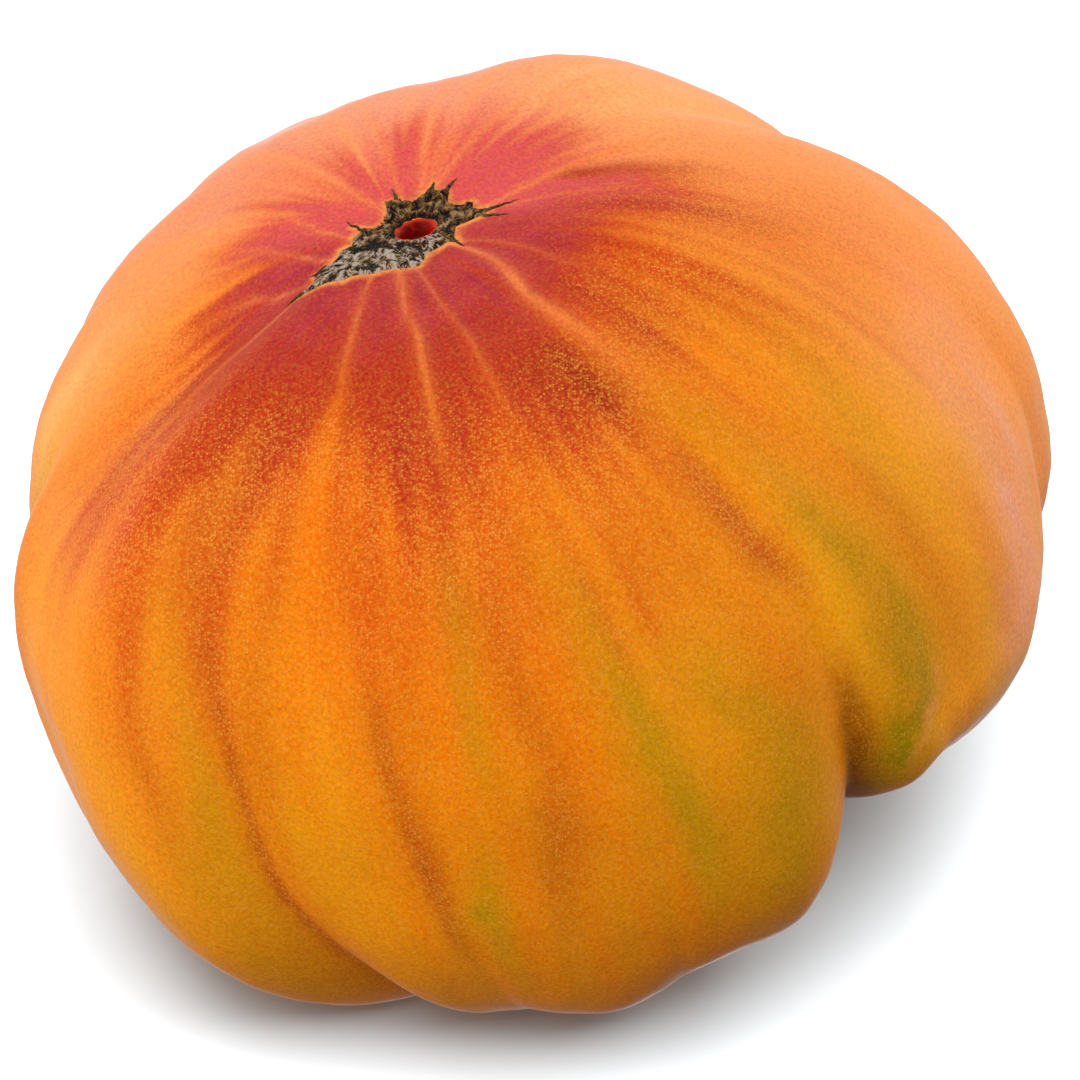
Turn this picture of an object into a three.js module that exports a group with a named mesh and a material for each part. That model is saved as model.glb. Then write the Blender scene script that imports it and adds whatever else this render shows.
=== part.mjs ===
import * as THREE from 'three';

// A ripe beefsteak tomato, picked, resting on its stem end with the blossom scar up.
// Millimetres, +Z up. The surface it rests on is z = 0, the origin is under its middle.
// Azimuth is in degrees, from the front (-Y) through the right side (+X) to the back.
// Fall is the way down each meridian, from 0 at the blossom scar to 1 at the stem.

// Lobes, each running from its own crease to the next lobe's crease:
// azimuth and depth of the crease, the fall where it starts to deepen, the degrees that
// it bends sideways on its way down, then the lobe's reach from the fruit's core line,
// the rise of its crown and the drop of its shoulder from the level of the widest part,
// and the fullness of the shoulder, where 2 is a plain ellipse and more is squarer.
const LOBES = [
  { azimuth: -32, crease: 6.5, start: 0.35, bend: 10, reach: 51, crown: 40, drop: 41, full: 2.3 },
  { azimuth: -8, crease: 1, start: 0.2, bend: 0, reach: 50.5, crown: 41, drop: 41, full: 2.3 },
  { azimuth: 16, crease: 1, start: 0.2, bend: 0, reach: 51.5, crown: 42, drop: 35, full: 2.2 },
  { azimuth: 43, crease: 10, start: 0.35, bend: 4, reach: 52, crown: 44, drop: 22, full: 2 },
  { azimuth: 61, crease: 3.5, start: 0.3, bend: 0, reach: 54.5, crown: 46, drop: 29, full: 1.9 },
  { azimuth: 99, crease: 2.5, start: 0.2, bend: 0, reach: 60, crown: 44, drop: 36, full: 2 },
  { azimuth: 130, crease: 4, start: 0, bend: 0, reach: 55, crown: 47, drop: 44, full: 2.3 },
  { azimuth: 168, crease: 2, start: 0.2, bend: 0, reach: 50, crown: 44, drop: 41, full: 2.4 },
  { azimuth: 202, crease: 2.5, start: 0.1, bend: 0, reach: 50, crown: 42, drop: 40, full: 2.4 },
  { azimuth: 228, crease: 2.5, start: 0.1, bend: 0, reach: 50, crown: 39, drop: 39.5, full: 2.4 },
  { azimuth: 252, crease: 2.5, start: 0.1, bend: 0, reach: 50.5, crown: 37, drop: 39, full: 2.4 },
  { azimuth: 279, crease: 4, start: 0.1, bend: 0, reach: 55.2, crown: 33, drop: 39, full: 2.4 },
  { azimuth: 302, crease: 1, start: 0.1, bend: 0, reach: 58, crown: 39, drop: 39.5, full: 2.4 },
];

// Whole fruit
const WIDEST_LEVEL = 35;
const MIDDLE_X = 2.7;
const MIDDLE_Y = -2;
const BLOSSOM_RISE = 42;
const STEM_DROP = 38;
const POLE_BLEND = 0.6;
const LEAN_LEFT = 5;
const SCAR_SHIFT_X = -12.5;
const SCAR_SHIFT_Y = 6;
const SHIFT_POWER = 1.5;

// Fullness of every crown, which changes to the shoulder's fullness across the waist
const CROWN_FULLNESS = 2.3;
const WAIST = 0.8;

// Creases
const CREASE_SHARPNESS = 0.8;
const CREASE_ROUNDING = 0.12;
const CREASE_AT_SCAR = 0.1;
const CREASE_AT_SCAR_RUN = 0.25;
const CREASE_RUN = 0.45;
const CREASE_FADE_START = 0.88;
const CREASE_FADE_RUN = 0.1;
const CREASE_PULL = 0.6;
const BEND_START = 0.3;
const BEND_END = 0.95;

// Blossom end: a shallow dimple, the ragged corky scar and the small hole in it
const DIMPLE_DEPTH = 2;
const DIMPLE_RADIUS = 10;
const SCAR_RISE = 0.6;
const SCAR_EDGE_START = 0.7;
const SCAR_EDGE_RUN = 0.35;
const HOLE_RADIUS_X = 2.6;
const HOLE_RADIUS_Y = 2;
const HOLE_DEPTH = 3;
const HOLE_WALL = 0.6;
const SCAR_ARMS = [
  { azimuth: -50, length: 15 },
  { azimuth: -33, length: 7.5 },
  { azimuth: -8, length: 6 },
  { azimuth: 30, length: 4.8 },
  { azimuth: 75, length: 5 },
  { azimuth: 96, length: 6 },
  { azimuth: 112, length: 12.5 },
  { azimuth: 128, length: 6 },
  { azimuth: 162, length: 8.8 },
  { azimuth: 196, length: 7 },
  { azimuth: 225, length: 5 },
  { azimuth: 255, length: 6.6 },
  { azimuth: 285, length: 6.5 },
];

// Stem end: a deep hollow with the round corky scar of the stem at its centre
const HOLLOW_DEPTH = 17;
const HOLLOW_RADIUS = 16;
const STEM_SCAR_RADIUS = 5;
const STEM_SCAR_EDGE = 1.6;
const STEM_SCAR_RISE = 1.2;

// Skin below this height is pressed flat against the surface, with a soft edge
const PRESS_HEIGHT = 0.6;

// Mesh: columns of facets about this many degrees wide, rows crowded towards both poles
const COLUMN_WIDTH = 4.4;
const ROWS = 50;
const POLE_CROWDING = 0.12;

const SKIN_COLOUR = 0xe07818;
const SKIN_ROUGHNESS = 0.4;

const FULL_TURN = 360;
const { degToRad, euclideanModulo, lerp } = THREE.MathUtils;

function ease(x) {
  return THREE.MathUtils.smoothstep(x, 0, 1);
}

const creaseAzimuths = LOBES.map((lobe) => lobe.azimuth);
const nextCreases = [...creaseAzimuths.slice(1), creaseAzimuths[0] + FULL_TURN];
const middleAzimuths = creaseAzimuths.map((azimuth, i) => (azimuth + nextCreases[i]) / 2);
const reaches = LOBES.map((lobe) => lobe.reach);
const crowns = LOBES.map((lobe) => lobe.crown);
const drops = LOBES.map((lobe) => lobe.drop);
const fullnesses = LOBES.map((lobe) => lobe.full);
const bends = LOBES.map((lobe) => lobe.bend);
const armAzimuths = SCAR_ARMS.map((arm) => arm.azimuth);
const armLengths = SCAR_ARMS.map((arm) => arm.length);

// The station that an azimuth follows, the one after it and the share of the way between
function placeAmong(azimuth, stations) {
  const turned = euclideanModulo(azimuth - stations[0], FULL_TURN);
  let here = stations.length - 1;
  while (stations[here] - stations[0] > turned) {
    here -= 1;
  }
  const next = (here + 1) % stations.length;
  const span = stations[next] - stations[here] + (next === 0 ? FULL_TURN : 0);
  return { here, next, share: (turned - stations[here] + stations[0]) / span };
}

// A value that eases from station to station all the way round
function easeAround(azimuth, stations, values) {
  const { here, next, share } = placeAmong(azimuth, stations);
  return lerp(values[here], values[next], ease(share));
}

// How far the skin lies inside its lobe: nothing on the lobe's middle, most in the creases
function creaseDepth(azimuth, fall) {
  const { here, next, share } = placeAmong(azimuth, creaseAzimuths);
  const depth = lerp(LOBES[here].crease, LOBES[next].crease, ease(share));
  const start = lerp(LOBES[here].start, LOBES[next].start, ease(share));
  const arch = Math.hypot(Math.sin(Math.PI * share), CREASE_ROUNDING) - CREASE_ROUNDING;
  const fullArch = Math.hypot(1, CREASE_ROUNDING) - CREASE_ROUNDING;
  const hollow = 1 - (arch / fullArch) ** CREASE_SHARPNESS;
  const atScar = CREASE_AT_SCAR * ease(fall / CREASE_AT_SCAR_RUN);
  const lower = (1 - CREASE_AT_SCAR) * ease((fall - start) / CREASE_RUN);
  const fade = 1 - ease((fall - CREASE_FADE_START) / CREASE_FADE_RUN);
  return depth * hollow * (atScar + lower) * fade;
}

// Relief of the blossom end: dimple, raised cork within its ragged outline, and hole
function blossomRelief(radius, azimuth) {
  const dimple = DIMPLE_DEPTH * Math.exp(-((radius / DIMPLE_RADIUS) ** 2));
  const outline = easeAround(azimuth, armAzimuths, armLengths);
  const cork = SCAR_RISE * (1 - ease((radius / outline - SCAR_EDGE_START) / SCAR_EDGE_RUN));
  const turn = degToRad(azimuth);
  const rim = radius * Math.hypot(Math.sin(turn) / HOLE_RADIUS_X, Math.cos(turn) / HOLE_RADIUS_Y);
  const hole = HOLE_DEPTH * (1 - ease((rim - HOLE_WALL) / (1 - HOLE_WALL)));
  return cork - dimple - hole;
}

// Relief of the stem end: the hollow goes up into the fruit, the stem scar stands back down
function stemRelief(radius) {
  const hollow = HOLLOW_DEPTH * Math.exp(-((radius / HOLLOW_RADIUS) ** 2));
  const scar = STEM_SCAR_RISE * (1 - ease((radius - STEM_SCAR_RADIUS) / STEM_SCAR_EDGE));
  return hollow - scar;
}

// Heights near the surface that the fruit rests on become exactly 0, with a smooth edge
function pressFlat(height) {
  if (height > PRESS_HEIGHT) {
    return height;
  }
  if (height < -PRESS_HEIGHT) {
    return 0;
  }
  return (height + PRESS_HEIGHT) ** 2 / (4 * PRESS_HEIGHT);
}

// A point of the skin: a full, rounded meridian, drawn in at the creases
function skinPoint(azimuth, fall) {
  const along = Math.cos(Math.PI * fall);
  const across = Math.abs(Math.sin(Math.PI * fall));
  const above = along > 0;
  const fromLobes = (values) => easeAround(azimuth, middleAzimuths, values);

  const fullness = lerp(fromLobes(fullnesses), CROWN_FULLNESS, ease((along + WAIST) / (2 * WAIST)));
  const spread = across ** (2 / fullness);
  const reach = fromLobes(reaches);
  const drawn = 1 - creaseDepth(azimuth, fall) / reach;
  const radius = reach * spread * drawn;

  const fromPole = ease(spread / POLE_BLEND);
  const crown = lerp(BLOSSOM_RISE, fromLobes(crowns), fromPole);
  const drop = lerp(STEM_DROP, fromLobes(drops), fromPole);
  const height = (above ? crown : -drop) * Math.abs(along) ** (2 / fullness);
  const pulled = height * (1 - (1 - drawn) * CREASE_PULL);

  const bending = ease((fall - BEND_START) / (BEND_END - BEND_START));
  const turn = azimuth + easeAround(azimuth, creaseAzimuths, bends) * bending;
  const relief = above ? blossomRelief(radius, turn) : stemRelief(radius);

  const shift = ((1 + along) / 2) ** SHIFT_POWER;
  const x = radius * Math.sin(degToRad(turn)) + SCAR_SHIFT_X * shift;
  const y = -radius * Math.cos(degToRad(turn)) + SCAR_SHIFT_Y * shift;
  const point = new THREE.Vector3(x, y, pulled + relief);
  point.applyAxisAngle(new THREE.Vector3(0, 1, 0), -degToRad(LEAN_LEFT));
  point.add(new THREE.Vector3(MIDDLE_X, MIDDLE_Y, WIDEST_LEVEL));
  point.z = pressFlat(point.z);
  return point;
}

// Every lobe is divided evenly, so that a column of facets ends in each crease
function columnAzimuths() {
  return LOBES.flatMap((lobe, i) => {
    const width = nextCreases[i] - lobe.azimuth;
    const count = Math.round(width / COLUMN_WIDTH);
    return Array.from({ length: count }, (_, k) => lobe.azimuth + (width * k) / count);
  });
}

// One closed skin: a fan of facets at each pole and bands of two triangles between
function tomatoGeometry() {
  const columns = columnAzimuths();
  const positions = [skinPoint(0, 0)];
  for (let row = 1; row < ROWS; row += 1) {
    const share = row / ROWS;
    const fall = share - POLE_CROWDING * Math.sin(2 * Math.PI * share);
    columns.forEach((azimuth) => positions.push(skinPoint(azimuth, fall)));
  }
  positions.push(skinPoint(0, 1));

  const indices = [];
  const last = positions.length - 1;
  const at = (row, column) => 1 + (row - 1) * columns.length + (column % columns.length);
  for (let column = 0; column < columns.length; column += 1) {
    indices.push(0, at(1, column), at(1, column + 1));
    for (let row = 1; row < ROWS - 1; row += 1) {
      indices.push(at(row, column), at(row + 1, column), at(row + 1, column + 1));
      indices.push(at(row, column), at(row + 1, column + 1), at(row, column + 1));
    }
    indices.push(last, at(ROWS - 1, column + 1), at(ROWS - 1, column));
  }

  const geometry = new THREE.BufferGeometry();
  geometry.setFromPoints(positions);
  geometry.setIndex(indices);
  geometry.computeVertexNormals();
  return geometry;
}

const skin = new THREE.MeshStandardMaterial({
  color: SKIN_COLOUR,
  roughness: SKIN_ROUGHNESS,
  metalness: 0,
});

const tomato = new THREE.Mesh(tomatoGeometry(), skin);
tomato.name = 'tomato';

const part = new THREE.Group();
part.add(tomato);

export default part;
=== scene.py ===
import math

import bpy
import numpy as np
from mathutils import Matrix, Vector


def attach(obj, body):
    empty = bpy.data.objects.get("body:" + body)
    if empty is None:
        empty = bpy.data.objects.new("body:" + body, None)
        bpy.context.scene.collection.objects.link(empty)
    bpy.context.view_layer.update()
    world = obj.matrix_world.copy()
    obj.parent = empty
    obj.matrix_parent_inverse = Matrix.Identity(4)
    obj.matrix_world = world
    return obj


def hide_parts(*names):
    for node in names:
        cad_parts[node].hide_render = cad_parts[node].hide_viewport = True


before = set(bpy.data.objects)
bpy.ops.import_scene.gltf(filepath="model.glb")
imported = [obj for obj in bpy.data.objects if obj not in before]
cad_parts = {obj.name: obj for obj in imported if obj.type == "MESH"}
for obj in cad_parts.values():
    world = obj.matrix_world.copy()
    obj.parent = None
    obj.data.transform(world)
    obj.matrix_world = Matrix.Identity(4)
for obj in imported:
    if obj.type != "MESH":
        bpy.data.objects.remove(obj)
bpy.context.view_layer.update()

# A ripe two-coloured beefsteak tomato, picked, resting on its stem end with the blossom
# scar up. Shapes are worked out in millimetres and put into the meshes in metres.
# Azimuth is in degrees, from the front (-Y) through the right side (+X) to the back.
# Fall is the way down each meridian, from 0 at the blossom scar to 1 at the stem.

METRES = 0.001
FULL_TURN = 360.0

# Lobes, each from its own crease to the next: azimuth and depth of the crease, the fall
# where it starts to deepen, the degrees it bends on its way down, then the lobe's reach
# from the core line, the rise of its crown, the drop of its shoulder and its fullness
LOBES = np.array([
    (-32, 6.5, .35, 10, 51, 40, 41, 2.3),
    (-8, 1, .2, 0, 50.5, 41, 41, 2.3),
    (16, 1, .2, 0, 51.5, 42, 35, 2.2),
    (43, 10, .35, 4, 52, 44, 21, 2),
    (61, .8, .3, 0, 53.8, 46, 34, 1.8),
    (99, 2.5, .2, 0, 60, 44, 36, 2),
    (130, 4, 0, 0, 55, 47, 44, 2.3),
    (168, 2, .2, 0, 50, 44, 41, 2.4),
    (202, 1.5, .1, 0, 50, 42, 40, 2.4),
    (228, 1.5, .1, 0, 50, 39, 39.5, 2.4),
    (252, 1.5, .1, 0, 50.5, 37, 39, 2.4),
    (279, 4, .1, 0, 54.4, 33, 39, 2.4),
    (302, .5, .1, 0, 57.8, 39, 39.5, 2.4),
])
CREASES, DEPTHS, STARTS, BENDS, REACHES, CROWNS, DROPS, FULLNESSES = LOBES.T
MIDDLES = (CREASES + np.append(CREASES[1:], CREASES[0] + FULL_TURN)) / 2

WIDEST_LEVEL = 35.0
MIDDLE = np.array([2.7, -2.0])
BLOSSOM_RISE = 42.0
STEM_DROP = 38.0
POLE_BLEND = 0.6
LEAN_LEFT = math.radians(5)
SCAR_SHIFT = np.array([-12.5, 6.0])
SHIFT_POWER = 1.5
CROWN_FULLNESS = 2.3
WAIST = 0.8
CREASE_SHARPNESS = 0.8
CREASE_ROUNDING = 0.12
CREASE_AT_SCAR = 0.1
CREASE_SETTLED = 0.25
CREASE_GROWTH = 0.45
CREASE_END = 0.88
CREASE_FADE = 0.1
CREASE_PULL = 0.6
BEND_START = 0.3
BEND_SPAN = 0.65
DIMPLE_DEPTH = 2.0
DIMPLE_RADIUS = 10.0
HOLLOW_DEPTH = 17.0
HOLLOW_RADIUS = 16.0
PRESS_HEIGHT = 0.6

# Ragged edge of the corky blossom scar: azimuth and distance from the core line
SCAR_EDGE = np.array([
    (-58, 13.8), (-59, 12.3), (-60.5, 11), (-68, 10.8), (-70, 9.5), (-71, 8.6), (-74, 7.9),
    (-80, 7.3), (-83, 6.1), (-93, 5.9), (-105, 5.2), (-108, 6.3), (-110, 4.5),
    (-117, 3.6), (-133, 3.6), (-148, 4.5), (-154, 5.8), (-162, 5.6), (-170, 5.4),
    (-183, 5), (-193, 5.7), (-197, 6.6), (-200, 7.4), (-205, 6.5), (-210, 6.6),
    (-213, 7.1), (-218, 6.6), (-225, 5.8), (-233, 6), (-237, 6.6), (-241, 7.7),
    (-249, 7.2), (-256.5, 8.7), (-260, 8.3), (-263, 8), (-265, 6.4), (-269, 5),
    (-287, 5.1), (-297, 5.9), (-301, 4.7), (-312, 4.4), (-329, 4.2), (-341, 5),
    (-348, 5.8), (-358.5, 5.9), (-368, 5.9), (-382, 6.4), (-388, 7.4), (-397, 8.2),
    (-401, 9), (-402, 9.9), (-405, 10.4), (-410, 11.3), (-414, 12.8),
])

# Fine strands of cork that run out over the skin: right and back of the core line in mm,
# and half the width at the root
SCAR_STRANDS = [
    ([(7.6, 1.7), (9.2, 2.0), (10.5, 2.3), (11.7, 2.7)], 0.28),
    ([(7.6, 0.9), (9.2, 0.4), (10.3, 0.1), (11.4, 0.0)], 0.24),
    ([(3.5, 5.3), (4.2, 6.2), (4.9, 7.1)], 0.24),
    ([(-1.2, 4.8), (-1.5, 6.0), (-1.9, 7.0)], 0.20),
    ([(-4.6, 1.1), (-6.0, 2.2), (-6.6, 2.9)], 0.16),
    ([(-8.5, -3.1), (-9.5, -3.6), (-10.3, -3.9)], 0.22),
    ([(-11.2, -6.9), (-11.9, -7.3), (-12.9, -8.0)], 0.24),
    ([(4.6, -2.0), (5.3, -2.8), (5.8, -3.7)], 0.16),
]

HOLE_MIDDLE = (0.7, 0.7)
HOLE_TILT = math.radians(18)
HOLE_HALF_LENGTH = 2.2
HOLE_HALF_WIDTH = 1.6
HOLE_DEPTH = 2.6
# The hole's floor and its wall, as shares of the way from its middle to its rim
HOLE_FLOOR = 0.55
HOLE_WALL = 0.45


def ease(x):
    """Rises smoothly from 0 at x = 0 to 1 at x = 1, as 3x^2 - 2x^3."""
    x = np.clip(x, 0.0, 1.0)
    return x * x * (3.0 - 2.0 * x)


def mix(a, b, share):
    """a where share is 0, b where it is 1."""
    return a + (b - a) * share


def place_among(azimuth, stations):
    """The station each azimuth follows, the next one, and the share of the way between."""
    turned = np.mod(azimuth - stations[0], FULL_TURN)
    here = np.searchsorted(stations - stations[0], turned, side="right") - 1
    after = (here + 1) % len(stations)
    span = np.mod(stations[after] - stations[here], FULL_TURN)
    return here, after, (turned - stations[here] + stations[0]) / span


def around(azimuth, stations, values):
    """A value that eases from station to station all the way round."""
    here, after, share = place_among(azimuth, stations)
    return mix(values[here], values[after], ease(share))


def crease_depth(azimuth, fall):
    """How far the skin lies inside its lobe: a rounded half-sine arch over each lobe,
    turned over, times a depth that grows on the way down and fades at the stem."""
    here, after, share = place_among(azimuth, CREASES)
    depth = mix(DEPTHS[here], DEPTHS[after], ease(share))
    start = mix(STARTS[here], STARTS[after], ease(share))
    arch = np.hypot(np.sin(np.pi * share), CREASE_ROUNDING) - CREASE_ROUNDING
    arch = arch / (math.hypot(1, CREASE_ROUNDING) - CREASE_ROUNDING)
    hollow = 1 - arch ** CREASE_SHARPNESS
    at_scar = CREASE_AT_SCAR * ease(fall / CREASE_SETTLED)
    lower = (1 - CREASE_AT_SCAR) * ease((fall - start) / CREASE_GROWTH)
    return depth * hollow * (at_scar + lower) * (1 - ease((fall - CREASE_END) / CREASE_FADE))


def hole_share(right, back):
    """0 in the middle of the hole in the blossom scar, 1 on the rim of its tilted oval."""
    x, y = right - HOLE_MIDDLE[0], back - HOLE_MIDDLE[1]
    along = x * math.cos(HOLE_TILT) + y * math.sin(HOLE_TILT)
    across = y * math.cos(HOLE_TILT) - x * math.sin(HOLE_TILT)
    return np.hypot(along / HOLE_HALF_LENGTH, across / HOLE_HALF_WIDTH)


def hole_bed(share):
    """Depth of the hole: full over its floor, then eased up its wall to 0 at the rim."""
    return HOLE_DEPTH * (1 - ease((share - HOLE_FLOOR) / HOLE_WALL))


def blossom_relief(right, back):
    """Round dimple of the blossom end, a bell curve, less the hole."""
    dimple = DIMPLE_DEPTH * np.exp(-((right ** 2 + back ** 2) / DIMPLE_RADIUS ** 2))
    return -dimple - hole_bed(hole_share(right, back))


def stem_relief(radius):
    """Deep hollow of the stem end, a bell curve that goes up into the fruit."""
    return HOLLOW_DEPTH * np.exp(-((radius / HOLLOW_RADIUS) ** 2))


def flat_map(azimuth, radius):
    """Distances right and back of the core line."""
    turn = np.radians(azimuth)
    return radius * np.sin(turn), -radius * np.cos(turn)


def skin(azimuth, fall, lift=0.0, relief=0.0):
    """Points of the skin in mm. Each meridian is half a full ellipse about the core
    line, drawn in at the creases; the core line curves towards the scar, the whole
    leans to the left, and what would pass below the surface is pressed flat. Lift
    raises a point along the core line before the lean, relief moves it outwards."""
    along, across = np.cos(np.pi * fall), np.abs(np.sin(np.pi * fall))
    shoulder = around(azimuth, MIDDLES, FULLNESSES)
    fullness = mix(shoulder, CROWN_FULLNESS, ease((along + WAIST) / (2 * WAIST)))
    spread = across ** (2 / fullness)
    reach = around(azimuth, MIDDLES, REACHES)
    drawn = 1 - crease_depth(azimuth, fall) / reach
    radius = reach * spread * drawn + relief * across

    from_pole = ease(spread / POLE_BLEND)
    crown = mix(BLOSSOM_RISE, around(azimuth, MIDDLES, CROWNS), from_pole)
    drop = mix(STEM_DROP, around(azimuth, MIDDLES, DROPS), from_pole)
    height = np.where(along > 0, crown, -drop) * np.abs(along) ** (2 / fullness)
    height = height * (1 - (1 - drawn) * CREASE_PULL) + relief * along + lift

    turn = azimuth + around(azimuth, CREASES, BENDS) * ease((fall - BEND_START) / BEND_SPAN)
    right, back = flat_map(turn, radius)
    height = height + np.where(along > 0, blossom_relief(right, back), stem_relief(radius))
    shift = ((1 + along) / 2) ** SHIFT_POWER
    x, y = right + SCAR_SHIFT[0] * shift, back + SCAR_SHIFT[1] * shift
    lean_cos, lean_sin = math.cos(LEAN_LEFT), math.sin(LEAN_LEFT)
    z = x * lean_sin + height * lean_cos + WIDEST_LEVEL
    x = x * lean_cos - height * lean_sin + MIDDLE[0]
    soft = np.clip((z + PRESS_HEIGHT) / (2 * PRESS_HEIGHT), 0, 1) ** 2 * PRESS_HEIGHT
    z = np.where(z > PRESS_HEIGHT, z, soft)
    return np.stack([x, y + MIDDLE[1], z], -1)


def core_radius(azimuth, fall):
    """Distance from the core line by the crown's ellipse, creases left out."""
    return around(azimuth, MIDDLES, REACHES) * np.sin(np.pi * fall) ** (2 / CROWN_FULLNESS)


def fall_at(azimuth, radius):
    """Fall of the skin point that far from the core line, near the blossom end."""
    spread = radius / around(azimuth, MIDDLES, REACHES)
    return np.arcsin(np.clip(spread, 0, 1) ** (CROWN_FULLNESS / 2)) / np.pi


def cloud(points, size, seed, waves=28):
    """Smooth random field of spread 1: a sum of plane waves about size mm long, in
    random directions."""
    rng = np.random.default_rng(seed)
    directions = rng.normal(size=(waves, points.shape[-1]))
    directions /= np.linalg.norm(directions, axis=1)[:, None]
    lengths = size * rng.uniform(0.7, 1.4, waves)
    phases = rng.uniform(0, 2 * np.pi, waves)
    total = np.zeros(points.shape[:-1])
    for direction, length, phase in zip(directions, lengths, phases):
        total += np.sin(points @ direction * (2 * np.pi / length) + phase)
    return total / math.sqrt(waves / 2)


def edge_distance(right, back, outline):
    """Distance from each flat point to the closed outline, the least over its sides."""
    nearest = np.full(right.shape, np.inf)
    for (x0, y0), (x1, y1) in zip(outline, np.roll(outline, -1, 0)):
        sx, sy = x1 - x0, y1 - y0
        share = ((right - x0) * sx + (back - y0) * sy) / (sx * sx + sy * sy)
        share = np.clip(share, 0, 1)
        gap = np.hypot(right - x0 - share * sx, back - y0 - share * sy)
        nearest = np.minimum(nearest, gap)
    return nearest


SCAR_OUTLINE = np.stack(flat_map(SCAR_EDGE[:, 0], SCAR_EDGE[:, 1]), -1)


def scar_reach(azimuth):
    """Distance from the core line to the ragged edge, along each azimuth."""
    angles, radii = SCAR_EDGE[::-1].T
    return np.interp(np.mod(azimuth - angles[0], FULL_TURN) + angles[0],
                     np.append(angles, angles[0] + FULL_TURN),
                     np.append(radii, radii[0]))


# Colours of the fruit, as seen

def colour(code):
    """Linear red, green and blue of a hex colour code."""
    s = np.array([int(code[i:i + 2], 16) / 255 for i in (0, 2, 4)])
    return np.where(s <= 0.04045, s / 12.92, ((s + 0.055) / 1.055) ** 2.4)


ORANGE = colour("f07c04")
GOLD = colour("f09c0c")
PEACH = colour("fa9648")
PINK = colour("f39678")
RED_ORANGE = colour("cc480c")
CRIMSON = colour("b03216")
MAGENTA = colour("a4263a")
ROSE = colour("d44c4c")
PLUM = colour("9c2c0c")
RUSSET = colour("ba480a")
OLIVE = colour("bc8a04")
GREEN = colour("9a7e02")
BROWN = colour("984a06")
VEIN = colour("f08448")
HALO_AND_EDGE_HIGHLIGHT = colour("f69850")
PALE_RIM_REFLECTION = colour("fcba72")
LILAC_RIM_REFLECTION = colour("ea9c90")
SHOULDER_GREEN = colour("a69a2c")
CORK_STAIN = colour("8a5a2c")
FLECK_GOLD = colour("f0a03c")
HOLE_RED = colour("8c0a06")

# Ground colour by azimuth: shares of gold, of peach and of pink over the orange; the peach
# and pink are partly the skin's paler tint, partly painted reflection of a pale haze
TINTS = np.array([
    (-120, .3, .7, .5), (-100, .4, .6, .3), (-85, .5, .4, .1), (-70, .55, .28, .05),
    (-57, .5, .2, .02), (-45, .5, .12, 0), (-30, .35, 0, 0), (-12, .2, 0, 0),
    (0, .1, 0, 0), (10, .25, 0, 0), (25, .45, 0, 0), (40, .4, 0, 0), (57, .6, 0, 0),
    (68, .75, .1, 0), (76, .75, .25, .05), (88, .5, .5, .08), (100, .25, .72, .2),
    (120, .2, .85, .4), (150, .2, .85, .6), (180, .15, .85, .85), (210, .25, .85, .6),
])

# How far down the red cap reaches, by azimuth
CAP = np.array([
    (-60, .18), (-52, .185), (-45, .25), (-38, .17), (-30, .215), (-22, .165), (-15, .19),
    (-8, .22), (0, .215), (8, .205), (15, .195), (22, .185), (30, .195), (38, .155),
    (45, .11), (51, .135), (57, .135), (66, .115), (75, .125), (86, .15), (95, .165),
    (103, .14), (112, .07), (128, .09), (142, .06), (158, .04), (178, .075), (196, .045),
    (208, .07), (222, .045), (240, .09), (250, .08), (260, .11), (268, .1), (280, .14),
    (290, .14),
])

# Light veins that run out from the scar: strength, half the width at the scar and at the
# end in mm, and the azimuth and fall along each
VEINS = [
    (.6, .22, .7, [(-32, .03), (-26, .043), (-21.5, .08), (-20, .12), (-19, .165)]),
    (.75, .4, .6, [(-9, .025), (-5, .04), (2.5, .09), (3.5, .15), (3.5, .23)]),
    (.45, .2, .6, [(8, .025), (12, .04), (18.5, .096), (19, .164), (20, .21)]),
    (.75, .2, 2.0, [(60, .022), (57, .03), (43, .09), (44.5, .143), (46, .207), (46.5, .28)]),
    (.35, .2, .5, [(69, .025), (67, .03), (62, .09), (63, .143)]),
    (.45, .2, .5, [(101, .035), (100, .05), (99, .08), (100, .14)]),
    (.65, .3, 1.4, [(108, .035), (108, .04), (115, .076), (117, .113), (118, .17)]),
    (.5, .25, .5, [(156, .03), (156, .034), (152, .065), (148, .107), (146, .14)]),
    (.6, .3, 1.2, [(164, .028), (163, .06), (160, .08)]),
    (.6, .4, 1.4, [(171, .026), (173, .061), (175.5, .12)]),
    (.5, .3, .7, [(189, .025), (192, .07), (195.5, .142)]),
    (.55, .4, 2.4, [(215, .022), (222, .05), (226, .14)]),
    (.6, .25, .9, [(268, .028), (260, .04), (245, .075), (236, .147)]),
    (.5, .2, .8, [(289, .034), (275, .055), (262, .087), (251, .169)]),
    (.4, .2, .9, [(300, .045), (283, .088), (277, .145)]),
    (.65, .2, .9, [(303, .06), (304, .083), (302, .11), (300, .147), (302, .19), (305, .24)]),
]

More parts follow.
